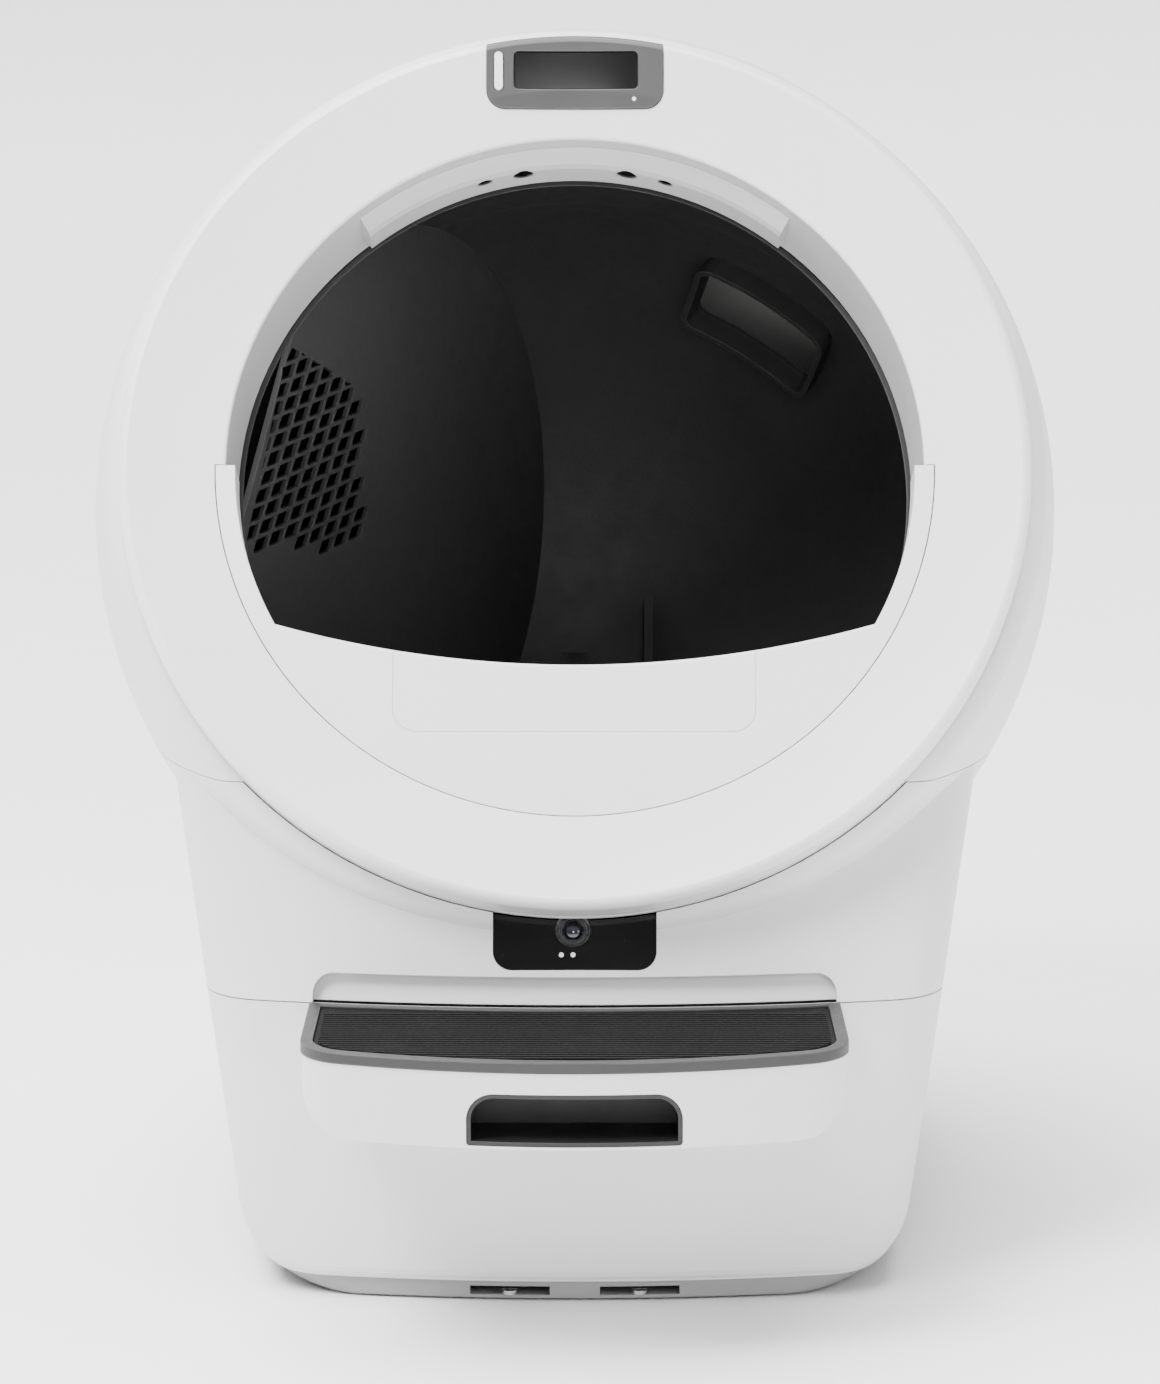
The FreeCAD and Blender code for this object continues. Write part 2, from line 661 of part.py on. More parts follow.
def entry_fence():
    inner_r = COLLAR_BACK_R - 2.6
    lip_r = COLLAR_BACK_R - 0.2
    half = face_box((-FAR, FAR), (-FAR, 0.0), (-20, 90))
    plate = face_disc(FENCE_R - SEAM_GAP / 2, (FENCE_S, FENCE_S + WALL)).common(half)
    hollow = face_disc(inner_r, (-10, 90)).common(fence_top())
    plate = plate.cut(hollow)
    lip = face_disc(lip_r, (FENCE_S + WALL, FENCE_LIP_S)).common(half)
    lip_hollow = face_disc(inner_r, (-10, 90)).common(fence_top())
    below = face_disc(inner_r, (-10, 90)).cut(fence_top(WALL))
    lip = lip.cut(lip_hollow).cut(below)
    fence = plate.fuse(lip)
    fence = round_fence_edge(fence)
    return fence.cut(fence_groove())


def fence_groove():
    """Shallow outline pressed into the fence's face."""
    def outline(inset, depth):
        half = GROOVE_HALF_WIDTH - inset
        corner = GROOVE_CORNER - inset
        v = (GROOVE_BOTTOM_V + inset, FENCE_EDGE_V + 30)
        return face_prism((-half, half), v, (corner, corner, 0, 0), (0, FENCE_S + depth))

    return outline(0.0, GROOVE_DEPTH).cut(outline(GROOVE_WIDTH, 1.0))


def round_fence_edge(fence):
    centre_v = FENCE_EDGE_V + FENCE_EDGE_R
    picked = []
    for edge in fence.Edges:
        points = points_on_edge(edge)
        on_edge = all(abs(math.hypot(p.x, p.y - centre_v) - FENCE_EDGE_R) < NEAR for p in points)
        if on_edge and edge_on_plane(edge, FENCE_S):
            picked.append(edge)
    return fence.makeFillet(FENCE_EDGE_ROUND, picked)


# ---- globe and drive ----
def gear_outline(teeth, z, centred_angle, backlash, module=GEAR_MODULE):
    """External spur gear outline with involute flanks and a tooth centred on the angle."""
    pitch = module * teeth / 2
    base = pitch * math.cos(math.radians(20))
    tip = pitch + 0.9 * module
    root = pitch - 1.2 * module

    def involute(r):
        ratio = min(1.0, base / r)
        return math.sqrt(1 / ratio ** 2 - 1) - math.acos(ratio)

    half_pitch = math.pi / (2 * teeth) - backlash / (2 * pitch)
    radii = [max(base, root + 0.3), pitch, tip]
    half_angles = [half_pitch + involute(pitch) - involute(r) for r in radii]
    points = []
    for tooth in range(teeth):
        middle = math.radians(centred_angle) + 2 * math.pi * tooth / teeth
        flank = [(root, half_angles[0])] + list(zip(radii, half_angles))
        for r, a in flank:
            points.append(Vector(r * math.cos(middle - a), r * math.sin(middle - a), z))
        for r, a in reversed(flank):
            points.append(Vector(r * math.cos(middle + a), r * math.sin(middle + a), z))
    return polygon_face(points)


PINION_ANGLE = -45.0
PINION_DISTANCE = GEAR_MODULE * (GEAR_TEETH + PINION_TEETH) / 2


def pinion_place():
    angle = math.radians(PINION_ANGLE)
    return PINION_DISTANCE * math.cos(angle), PINION_DISTANCE * math.sin(angle)


def globe_ball(radius):
    return on_face(Part.makeSphere(radius, Vector(0, 0, -GLOBE_S)))


def port_axis():
    turn = math.radians(PORT_ANGLE)
    lean = math.radians(PORT_LEAN)
    return Vector(math.cos(turn) * math.cos(lean), math.sin(turn) * math.cos(lean), -math.sin(lean))


def port_box(grow):
    """Bar through the globe's wall at the waste port."""
    half_w = PORT_WIDTH / 2 + grow
    half_l = PORT_LENGTH / 2 + grow
    solid = rounded_prism((-half_w, half_w), (-half_l, half_l), (PORT_CORNER + grow,) * 4, (0, 300))
    axis = port_axis()
    side = Vector(-math.sin(math.radians(PORT_ANGLE)), math.cos(math.radians(PORT_ANGLE)), 0)
    other = axis.cross(side)
    frame = FreeCAD.Matrix(side.x, other.x, axis.x, 0, side.y, other.y, axis.y, 0,
                           side.z, other.z, axis.z, -GLOBE_S, 0, 0, 0, 1)
    solid.Placement = Placement(frame)
    return on_face(solid)


def globe_parts():
    ball = globe_ball(GLOBE_R)
    hollow = globe_ball(GLOBE_R - GLOBE_WALL)
    shell = ball.cut(hollow)
    front = shell.common(face_box((-FAR, FAR), (-FAR, FAR), (MOUTH_S, GLOBE_S)))
    rear = shell.common(face_box((-FAR, FAR), (-FAR, FAR), (GLOBE_S, FAR)))
    port = port_box(0.0)
    front = front.cut(port)
    rear = rear.cut(port)
    keep("globe_front", front)
    keep("globe_rear", fuse_all([rear, rear_fin()]))
    frame = port_box(WALL + 1).cut(port_box(0.0))
    band = globe_ball(GLOBE_R - GLOBE_WALL - 0.1).cut(globe_ball(GLOBE_R - GLOBE_WALL - PORT_FRAME_DEPTH))
    keep("waste_port_frame", frame.common(band))
    gear = gear_outline(GEAR_TEETH, -GLOBE_S - GEAR_WIDTH / 2, PINION_ANGLE, GEAR_BACKLASH).extrude(
        Vector(0, 0, GEAR_WIDTH))
    keep("ring_gear", on_face(gear).cut(globe_ball(GLOBE_R + 0.05)))
    tracks = []
    for sign in (-1, 1):
        s = GLOBE_S + sign * TRACK_OFFSET
        track = turned([(TRACK_R - 9, s - TRACK_WIDTH / 2), (TRACK_R, s - TRACK_WIDTH / 2),
                        (TRACK_R, s + TRACK_WIDTH / 2), (TRACK_R - 9, s + TRACK_WIDTH / 2)])
        tracks.append(track.cut(globe_ball(GLOBE_R + 0.05)))
    keep("globe_tracks", Part.makeCompound(tracks))
    keep("litter_liner", litter_liner())
    keep("sifting_screen", sifting_screen())
    keep("screen_frame", screen_frame())
    drive_parts()


def rear_fin():
    """Short rake rib inside the globe's back wall."""
    radius = GLOBE_R - GLOBE_WALL + 0.5
    depth = 26.0
    fin = face_box((46, 52), (-70, 30), (GLOBE_S, FAR))
    return fin.common(globe_ball(radius)).cut(globe_ball(radius - depth))


def litter_liner():
    """Rubber bed that follows the lower part of the globe."""
    outer_r = GLOBE_R - GLOBE_WALL - 0.2
    bed = globe_ball(outer_r).cut(globe_ball(outer_r - 3.0))
    keep_zone = face_box((-170, 170), (-FAR, -120), (GLOBE_S - 95, GLOBE_S + 105))
    front = SCREEN_THICK + 0.3
    behind_screen = screen_place(Part.makeCylinder(FAR, FAR, Vector(0, 0, front - FAR), AXIS_Z))
    return bed.common(keep_zone).cut(behind_screen)


def screen_place(shape):
    """Stands a panel built in XY (X deep into the globe, Y up) at the left of the globe."""
    deep = Vector(math.sin(SCREEN_TURN_RAD), 0, -math.cos(SCREEN_TURN_RAD))
    roll = Rotation(deep, SCREEN_ROLL)
    deep = roll.multVec(deep)
    up = roll.multVec(Vector(0, 1, 0))
    out = deep.cross(up)
    place = out * SCREEN_OFFSET - Vector(0, 0, GLOBE_S)
    frame = FreeCAD.Matrix(deep.x, up.x, out.x, place.x, deep.y, up.y, out.y, place.y,
                           deep.z, up.z, out.z, place.z, 0, 0, 0, 1)
    moved = shape.copy()
    moved.Placement = Placement(frame).multiply(moved.Placement)
    return on_face(moved)


def inside_globe():
    """Space that fittings on the globe's inner wall may fill."""
    ball = globe_ball(GLOBE_R - GLOBE_WALL - RUNNING_FIT)
    return ball.common(face_box((-FAR, FAR), (-FAR, FAR), (MOUTH_S + 1, FAR)))


def screen_cell(column, row):
    """One slanted opening of the lattice, with its sharp corners cut off."""
    along = Vector(*CELL_ALONG, 0)
    upward = Vector(*CELL_UP, 0)
    centre = Vector(*SCREEN_START, 0) + along * column + upward * row
    area = along.cross(upward).Length
    half_a = 0.5 - CELL_BAR * upward.Length / (2 * area)
    half_b = 0.5 - CELL_BAR * along.Length / (2 * area)
    trim = CELL_TRIM
    shares = [(-half_a, -half_b + trim), (-half_a + trim, -half_b), (half_a, -half_b),
              (half_a, half_b - trim), (half_a - trim, half_b), (-half_a, half_b)]
    points = [centre + along * a + upward * b for a, b in shares]
    return centre, points


def in_screen_area(point):
    """Whether an opening's centre lies in the perforated part of the panel."""
    for index, start in enumerate(SCREEN_AREA):
        end = SCREEN_AREA[(index + 1) % len(SCREEN_AREA)]
        if (end[0] - start[0]) * (point.y - start[1]) < (end[1] - start[1]) * (point.x - start[0]):
            return False
    return True


def sifting_screen():
    """Wall across the globe's left side; its lattice lets clean litter through and holds clumps back."""
    panel = Part.makeCylinder(GLOBE_R, SCREEN_THICK, ORIGIN, AXIS_Z)
    reach = screen_chord_r() - SCREEN_MARGIN
    zone = Part.makeCylinder(reach, SCREEN_THICK + 4, Vector(0, 0, -2), AXIS_Z)
    zone = zone.common(box((SCREEN_FRONT_X, 0), (-FAR, SCREEN_TOP_Y), (-2, SCREEN_THICK + 2)))
    cells = []
    for row in range(-CELL_REACH, CELL_REACH + 1):
        for column in range(-CELL_REACH, CELL_REACH + 1):
            centre, points = screen_cell(column, row)
            if in_screen_area(centre):
                low = [point - Vector(0, 0, 1) for point in points]
                cells.append(polygon_face(low).extrude(Vector(0, 0, SCREEN_THICK + 2)))
    openings = Part.makeCompound(cells).common(zone)
    return screen_place(panel.cut(openings)).common(inside_globe())


def screen_chord_r():
    return math.sqrt((GLOBE_R - GLOBE_WALL) ** 2 - SCREEN_OFFSET ** 2)


def screen_frame():
    """Rim behind the sifting screen, which carries it on the globe's wall."""
    low = -SCREEN_FRAME_DEPTH
    rim = Part.makeCylinder(GLOBE_R, SCREEN_FRAME_DEPTH, Vector(0, 0, low), AXIS_Z)
    hole_r = screen_chord_r() - SCREEN_FRAME_WIDTH
    hole = Part.makeCylinder(hole_r, SCREEN_FRAME_DEPTH + 2, Vector(0, 0, low - 1), AXIS_Z)
    front = box((-FAR, SCREEN_FRAME_FRONT_X), (-FAR, FAR), (low - 1, 1))
    return screen_place(rim.cut(hole).cut(front)).common(inside_globe())


def drive_parts():
    """Pinion, gearbox, motor and the bracket they stand on."""
    px, pv = pinion_place()
    half = GEAR_WIDTH / 2 + 1
    meshing_angle = PINION_ANGLE + 180 + 180.0 / PINION_TEETH
    pinion = gear_outline(PINION_TEETH, -GLOBE_S - half, meshing_angle, GEAR_BACKLASH)
    pinion = pinion.extrude(Vector(0, 0, 2 * half))
    pinion.translate(Vector(px, pv, 0))
    shaft = Part.makeCylinder(SHAFT_R, 30, Vector(px, pv, -GLOBE_S - 24))
    keep("drive_pinion", on_face(pinion.fuse(shaft)))
    front_s = GLOBE_S + half + 2
    back_s = front_s + GEARBOX_DEPTH
    reach = GEARBOX_HALF
    gearbox = face_prism((px - reach, px + reach), (pv - reach, pv + reach), (5,) * 4, (front_s, back_s))
    bore = face_disc(SHAFT_R + RUNNING_FIT, (GLOBE_S, GLOBE_S + 24.5), px, pv)
    keep("gearbox", gearbox.cut(bore))
    motor = face_disc(MOTOR_R, (back_s, back_s + MOTOR_LENGTH), px, pv)
    cap = face_disc(5, (back_s + MOTOR_LENGTH, back_s + MOTOR_LENGTH + 4), px, pv)
    keep("drive_motor", motor.fuse(cap))
    bracket = face_box((px - 13, px + 13), (-FAR / 2, pv - reach), (front_s + 1, back_s - 1))
    keep("motor_bracket", bracket.common(ABOVE_DECK))
    roller_parts()


def roller_parts():
    """Four grooved rollers under the globe's tracks, each on a pin in a fork."""
    brackets = []
    pins = []
    half = ROLLER_WIDTH / 2
    for side, side_name in ((-1, "left"), (1, "right")):
        for sign, end_name in ((-1, "front"), (1, "rear")):
            s = GLOBE_S + sign * TRACK_OFFSET
            angle = math.radians(-90 + side * ROLLER_ANGLE)
            distance = TRACK_R + ROLLER_R + ROLLER_GAP
            x = distance * math.cos(angle)
            v = distance * math.sin(angle)
            groove = turned_at(x, v, [(ROLLER_R - 1.2, s - 1.5), (ROLLER_R + 1, s - 1.5),
                                      (ROLLER_R + 1, s + 1.5), (ROLLER_R - 1.2, s + 1.5)])
            hub = face_disc(PIN_R + RUNNING_FIT, (s - 20, s + 20), x, v)
            wheel = face_disc(ROLLER_R, (s - half, s + half), x, v)
            keep("roller_" + end_name + "_" + side_name, wheel.cut(groove).cut(hub))
            pins.append(face_disc(PIN_R, (s - half - 5, s + half + 5), x, v))
            fork = face_box((x - 10, x + 10), (-FAR / 2, v + 5.5), (s - half - 4, s + half + 4))
            slot_s = (s - half - MOVING_GAP, s + half + MOVING_GAP)
            slot = face_box((x - 30, x + 30), (v - ROLLER_R - 2, v + 30), slot_s)
            fork = fork.cut(slot).cut(face_disc(PIN_R, (s - 30, s + 30), x, v))
            brackets.append(fork.common(ABOVE_DECK))
    keep("roller_brackets", Part.makeCompound(brackets))
    keep("roller_pins", Part.makeCompound(pins))


def turned_at(x, v, profile):
    face = polygon_face([Vector(r, 0, -s) for r, s in profile])
    solid = face.revolve(ORIGIN, AXIS_Z, 360)
    solid.translate(Vector(x, v, 0))
    return on_face(solid)


# ---- base ----
def scoop_tool(grow):
    """Recess above the tread, for the paw."""
    low = SEAM_Z - 10
    high = SEAM_Z + SCOOP_HEIGHT + grow
    half = SCOOP_HALF_WIDTH + grow
    prism = front_prism((-half, half), (low, high), (0, 0, 12 + grow, 12 + grow), (-300, -150))
    surface = body_form(SEAM_Z - 12, SEAM_Z + 40, SCOOP_DEPTH + grow)
    return prism.cut(surface)


def window_prism(grow, s):
    half = WINDOW_HALF_WIDTH + grow
    corners = (WINDOW_CORNER, WINDOW_CORNER, 0, 0)
    prism = face_prism((-half, half), (WINDOW_BOTTOM_V - grow, -200), corners, s)
    return prism.cut(face_disc(RING_R + MOVING_GAP - grow, (-30, 60)))


def base_parts():
    body = body_form(BODY_BOTTOM_Z, BODY_TOP_Z)
    saddle = face_disc(RING_R + MOVING_GAP, (-30, 46))
    dome_low = dome_form().common(BELOW_PARTING)
    outer = body.common(BELOW_PARTING).fuse(dome_low)
    inner = body_form(BODY_BOTTOM_Z - 2, BODY_TOP_Z, WALL).fuse(dome_form(WALL, SHOULDER_S + WALL, 0.0))
    scoop_in = scoop_tool(WALL)
    inner = inner.cut(scoop_in)
    shell = outer.cut(scoop_tool(0.0)).cut(inner)
    drawer_zone = box((-FAR, FAR), (-FAR, DRAWER_SIDE_Y), (-FAR, SEAM_Z))
    shell = shell.cut(drawer_zone)
    shell = shell.cut(saddle)
    shell = shell.cut(window_prism(0.3, (-10, 60)))
    shell = shell.cut(rear_cover_prism(0.5))
    inlet = Part.makeCylinder(7.2, 60, Vector(-70, BODY_BACK_Y - 30, 46), AXIS_Y)
    shell = shell.cut(inlet)
    keep("base_housing", shell)
    window = body.common(window_prism(0.0, (-10, 31.0)))
    lens_bore = face_disc(LENS_R + 0.1, (-10, 60), LENS_X, LENS_V)
    lights = [face_disc(LIGHT_R + 0.2, (-10, 60), x, LIGHT_V) for x in LIGHT_X]
    keep("camera_window", window.cut(lens_bore).cut(Part.makeCompound(lights)))
    camera_parts()
    plate_parts()
    deck_parts()
    rear_parts()


def camera_parts():
    """Stepped lens barrel, its lens and two small lights, all behind the front window's face."""
    back = LENS_S + 12
    hole = LENS_R - 5.2
    barrel = turned_at(LENS_X, LENS_V, [
        (LENS_R, LENS_S + 0.5), (LENS_R - 0.8, LENS_S), (LENS_R - 1.7, LENS_S + 0.6),
        (LENS_R - 2.0, LENS_S + 2.2), (LENS_R - 3.2, LENS_S + 2.2), (LENS_R - 3.5, LENS_S + 1.4),
        (LENS_R - 4.1, LENS_S + 1.4),
        (hole, LENS_S + 3.0), (hole, back), (LENS_R, back)])
    keep("camera_barrel", barrel)
    lens = on_face(Part.makeSphere(9.0, Vector(LENS_X, LENS_V, -(LENS_S + 12.0))))
    keep("camera_lens", lens.common(face_disc(hole - 0.1, (LENS_S + 2, LENS_S + 9), LENS_X, LENS_V)))
    slugs = [face_disc(LIGHT_R, (LENS_S - 1.0, LENS_S + 4), x, LIGHT_V) for x in LIGHT_X]
    keep("camera_lights", Part.makeCompound(slugs))


def plate_parts():
    """Plinth with two front openings, feet, weight sensors and the rails that the drawer runs on."""
    top = BODY_BOTTOM_Z - 0.3
    plate = Part.makeLoft([body_outline(z, PLATE_INSET) for z in (PLATE_LOW_Z, 4.0, 8.0, top)], True, False)
    inset = PLATE_INSET + PLATE_RIM
    levels = (PLATE_LOW_Z - 1, 4.0, PLATE_TOP_Z)
    hollow = Part.makeLoft([body_outline(z, inset) for z in levels], True, False)
    plate = plate.cut(hollow)
    for low, high in (NOTCH_X, (-NOTCH_X[1], -NOTCH_X[0])):
        y = (BODY_FRONT_Y - 5, BODY_FRONT_Y + 30)
        plate = plate.cut(box((low, high), y, (NOTCH_FLOOR_Z, PLATE_TOP_Z)))
    feet = []
    cells = []
    for x in (-FOOT_X, FOOT_X):
        for y in FOOT_Y:
            foot = Part.makeCone(15, 17, FOOT_HEIGHT, Vector(x, y, 0), AXIS_Z)
            feet.append(foot)
            pad = Part.makeCylinder(20, top - FOOT_HEIGHT, Vector(x, y, FOOT_HEIGHT), AXIS_Z)
            plate = plate.cut(foot).fuse(pad)
            cells.append(box((x - 11, x + 11), (y - 9, y + 9), (BODY_BOTTOM_Z + 0.05, BODY_BOTTOM_Z + 3.6)))
    keep("base_plate", plate)
    keep("rubber_feet", Part.makeCompound(feet))
    keep("load_cells", Part.makeCompound(cells))
    middle = (NOTCH_X[0] + NOTCH_X[1]) / 2
    keep("plinth_screws", Part.makeCompound([plinth_screw(x) for x in (-middle, middle)]))
    rails = []
    for side in (-1, 1):
        x0, x1 = sorted((side * (TRAY_HALF_WIDTH - 26), side * (TRAY_HALF_WIDTH - 14)))
        rails.append(box((x0, x1), (-140, 220), (top, TRAY_FLOOR_Z - 0.5)))
    keep("drawer_rails", Part.makeCompound(rails))


def plinth_screw(x):
    """Round slotted head that stands on a front opening's floor."""
    centre = Vector(x, BODY_FRONT_Y + 9.0, NOTCH_FLOOR_Z)
    head = Part.makeCylinder(4.6, 2.4, centre, AXIS_Z)
    slot = box((x - 6, x + 6), (centre.y - 0.6, centre.y + 0.6), (NOTCH_FLOOR_Z + 1.4, NOTCH_FLOOR_Z + 3))
    return head.cut(slot)


def deck_parts():
    """Floor between the globe and the drawer, with the chute that waste drops through."""
    z0, z1 = DECK_Z, DECK_Z + DECK_THICK
    deck = body_form(z0, z1, WALL + 0.3)
    deck = deck.cut(box((-FAR, FAR), (-FAR, DECK_FRONT_Y), (0, FAR)))
    deck = deck.cut(chute_bar(0.0, (z0 - 5, z1 + 5)))
    y = (DECK_FRONT_Y, DECK_FRONT_Y + WALL)
    riser = box((-RISER_HALF_WIDTH, RISER_HALF_WIDTH), y, (z0, RISER_TOP_Z))
    deck = deck.fuse(riser)
    keep("globe_deck", deck)
    keep("port_seal", chute_bar(9.0, (z1, z1 + 5)).cut(chute_bar(1.0, (z1 - 1, z1 + 8))))
    keep("drawer_seal", tray_bar(2.0, (z0 - 4, z0)).cut(tray_bar(8.0, (z0 - 6, z0 + 2))))


def chute_bar(grow, z):
    """Upright bar with the chute's outline."""
    half = CHUTE_HALF_WIDTH + grow
    y = (CHUTE_Y[0] - grow, CHUTE_Y[1] + grow)
    return rounded_prism((-half, half), y, (CHUTE_CORNER + grow,) * 4, z)


def tray_bar(inset, z):
    """Upright bar with the tray's outline."""
    half = TRAY_HALF_WIDTH - inset
    y = (TRAY_FRONT_Y + inset, TRAY_BACK_Y - inset)
    return rounded_prism((-half, half), y, (TRAY_CORNER - inset,) * 4, z)


def rear_cover_prism(grow):
    return front_prism((-100 - grow, 100 + grow), (78 - grow, 232 + grow), (14 + grow,) * 4, (220, 340))


def rear_parts():
    skin = body_form(BODY_BOTTOM_Z, BODY_TOP_Z).cut(body_form(BODY_BOTTOM_Z - 2, BODY_TOP_Z + 2, WALL))
    cover = skin.common(rear_cover_prism(0.0))
    slots = []
    for row in range(6):
        for column in (-1, 0, 1):
            x = column * 42.0
            z = 176.0 + row * 8.0
            slots.append(front_prism((x - 17, x + 17), (z, z + 3.4), (1.6,) * 4, (220, 340)))
    keep("rear_cover", cover.cut(Part.makeCompound(slots)))
    heads = []
    for x in (-88, 88):
        for z in (92, 218):
            y = BODY_BACK_Y + BODY_BACK_LEAN * z - (x * x) / (2 * BODY_BACK_BOW)
            heads.append(Part.makeCylinder(4.0, 2.0, Vector(x, y, z), AXIS_Y))
    keep("rear_screws", Part.makeCompound(heads).cut(cover))
    y0 = BODY_BACK_Y - WALL - 22
    jack = Part.makeCylinder(6.5, 28, Vector(-70, y0, 46), AXIS_Y)
    bore = Part.makeCylinder(3.2, 18, Vector(-70, y0 + 14, 46), AXIS_Y)
    tip = Part.makeCylinder(1.1, 12, Vector(-70, y0 + 13.9, 46), AXIS_Y)
    keep("power_inlet", jack.cut(bore).fuse(tip))
    board = box((-62, 62), (268, 270), (152, 222))
    places = ((-50, 22, 160, 18), (-14, 14, 168, 14), (14, 30, 158, 10),
              (26, 16, 186, 22), (-44, 34, 196, 12))
    chips = [box((x, x + w), (263, 268), (z, z + h)) for x, w, z, h in places]
    keep("control_board", board.multiFuse(chips))


# ---- drawer ----
def step_outline_form(z, grow=0.0):
    """Step's plan: bowed front, round front corners, back edge that follows the body's front."""
    half = STEP_HALF_WIDTH + grow
    front_y = STEP_FRONT_Y - grow
    bow = Part.makeCylinder(STEP_BOW + grow, z[1] - z[0], Vector(0, STEP_FRONT_Y + STEP_BOW, z[0]))
    slab = box((-half, half), (front_y - 5, -150), z)
    form = slab.common(bow)
    uprights = []
    for edge in form.Edges:
        start, end = edge.Vertexes[0].Point, edge.Vertexes[-1].Point
        if abs(start.x - end.x) < 0.01 and abs(start.y - end.y) < 0.01 and start.y < -200:
            uprights.append(edge)
    return form.makeFillet(STEP_CORNER + grow, uprights)


def drawer_parts():
    outer = body_form(BODY_BOTTOM_Z, SEAM_Z)
    inner = body_form(BODY_BOTTOM_Z - 2, SEAM_Z + 2, WALL)
    zone = box((-FAR, FAR), (-FAR, DRAWER_SIDE_Y - SEAM_GAP), (-FAR, SEAM_Z - SEAM_GAP))
    front = outer.cut(inner).common(zone)
    for x in (-120, 0, 120):
        web = box((x - 12, x + 12), (BODY_FRONT_Y - 5, TRAY_FRONT_Y), (40, 110))
        front = front.fuse(web.common(outer))
    keep("drawer_front", front)

    tray = tray_bar(0.0, (TRAY_FLOOR_Z, TRAY_TOP_Z))
    rim = tray_bar(-TRAY_RIM, (TRAY_TOP_Z - 3, TRAY_TOP_Z))
    inside = tray_bar(TRAY_WALL, (TRAY_FLOOR_Z + TRAY_WALL, TRAY_TOP_Z + 5))
    keep("drawer_tray", tray.fuse(rim).cut(inside))
    frame = tray_bar(TRAY_WALL + 0.5, (TRAY_TOP_Z - 14, TRAY_TOP_Z - 2))
    keep("liner_frame", frame.cut(tray_bar(TRAY_WALL + 3.5, (TRAY_TOP_Z - 20, TRAY_TOP_Z + 2))))
    keep("filter_cage", filter_cage())
    front_y = TRAY_FRONT_Y + TRAY_WALL
    keep("carbon_filter", rounded_prism((-40, 40), (front_y + 3, front_y + 15), (4,) * 4, (74, 114)))
    step_parts()


def filter_cage():
    y0 = TRAY_FRONT_Y + TRAY_WALL
    outer = rounded_prism((-44, 44), (y0 + 0.05, y0 + 18), (0, 0, 5, 5), (70, 118))
    inner = rounded_prism((-41, 41), (y0 + 2, y0 + 16), (4,) * 4, (73, 130))
    cage = outer.cut(inner)
    slots = [box((x, x + 4), (y0 + 10, y0 + 30), (80, 110)) for x in range(-34, 32, 10)]
    return cage.cut(Part.makeCompound(slots))


def handle_tool(grow, y):
    """Bar along Y with the handle recess's outline."""
    half = HANDLE_HALF_WIDTH + grow
    corner = HANDLE_CORNER + grow
    z = (STEP_BOTTOM_Z + HANDLE_SILL - grow, HANDLE_TOP_Z + grow)
    return front_prism((-half, half), z, (2 + grow, 2 + grow, corner, corner), y)


def step_form(inset, z):
    """Step's outer form: bowed in plan, with round lower corners seen from the front."""
    half = STEP_HALF_WIDTH - inset
    corner = STEP_BOTTOM_ROUND - inset
    front_view = front_prism((-half, half), z, (corner, corner, 0, 0), (-400, -150))
    return step_outline_form((z[0] - 5, z[1]), -inset).common(front_view)


def step_parts():
    form = step_form(0.0, (STEP_BOTTOM_Z, STEP_TOP_Z))
    shell = form.cut(step_form(WALL, (STEP_BOTTOM_Z + WALL, STEP_TOP_Z - WALL)))
    back_y = STEP_FRONT_Y + HANDLE_DEPTH
    shell = shell.cut(handle_tool(0.0, (-400, back_y)))
    body_grown = body_form(BODY_BOTTOM_Z, SEAM_Z + 5, -0.05)
    shell = shell.cut(body_grown)
    keep("step_shell", shell)

    pocket = handle_tool(-0.1, (-400, back_y - 0.1))
    hollow = handle_tool(-LINING_WALL, (-410, back_y - LINING_WALL))
    lining = pocket.cut(hollow).common(step_form(0.6, (STEP_BOTTOM_Z, STEP_TOP_Z)))
    keep("handle_lining", lining)

    trim_z = (STEP_TOP_Z, TREAD_Z)
    trim_form = step_outline_form(trim_z, 0.8).cut(body_grown)
    pocket_form = step_outline_form((STEP_TOP_Z + 1.5, TREAD_Z + 5), -TRIM_WIDTH)
    back_limit = body_form(STEP_TOP_Z - 2, SEAM_Z, -5.5)
    pocket_form = pocket_form.cut(back_limit)
    keep("mat_trim", trim_form.cut(pocket_form))
    keep("step_mat", step_mat())


def step_mat():
    """Rubber mat with ribs across it."""
    top = TREAD_Z - MAT_BELOW_TRIM
    rib_top = top + RIB_HEIGHT
    bed = step_outline_form((STEP_TOP_Z + 1.5, top), -TRIM_WIDTH - 0.4)
    bed = bed.cut(body_form(STEP_TOP_Z - 2, SEAM_Z, -5.9))
    start_y = STEP_FRONT_Y + TRIM_WIDTH + 6
    pitch = (BODY_FRONT_Y - 12 - start_y) / (RIB_COUNT - 1)
    zone = step_outline_form((top - 0.5, rib_top), -TRIM_WIDTH - 3)
    zone = zone.cut(body_form(top - 1, rib_top + 0.2, -8))
    ribs = []
    for index in range(RIB_COUNT):
        y = start_y + pitch * index
        ribs.append(box((-FAR, FAR), (y, y + pitch * 0.5), (top - 0.5, rib_top)).common(zone))
    return bed.multiFuse(ribs)


def solids_only(shape):
    solids = shape.Solids
    if not solids:
        raise RuntimeError("no solid")
    return solids[0] if len(solids) == 1 else Part.makeCompound(solids)


def main():
    hood_parts()
    keep("entry_fence", entry_fence())
    globe_parts()
    base_parts()
    drawer_parts()
    os.makedirs("parts", exist_ok=True)
    for name, shape in nodes.items():
        solid = solids_only(shape)
        solid.exportStep(os.path.join("parts", name + ".step"))


main()
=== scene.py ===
import json
import math

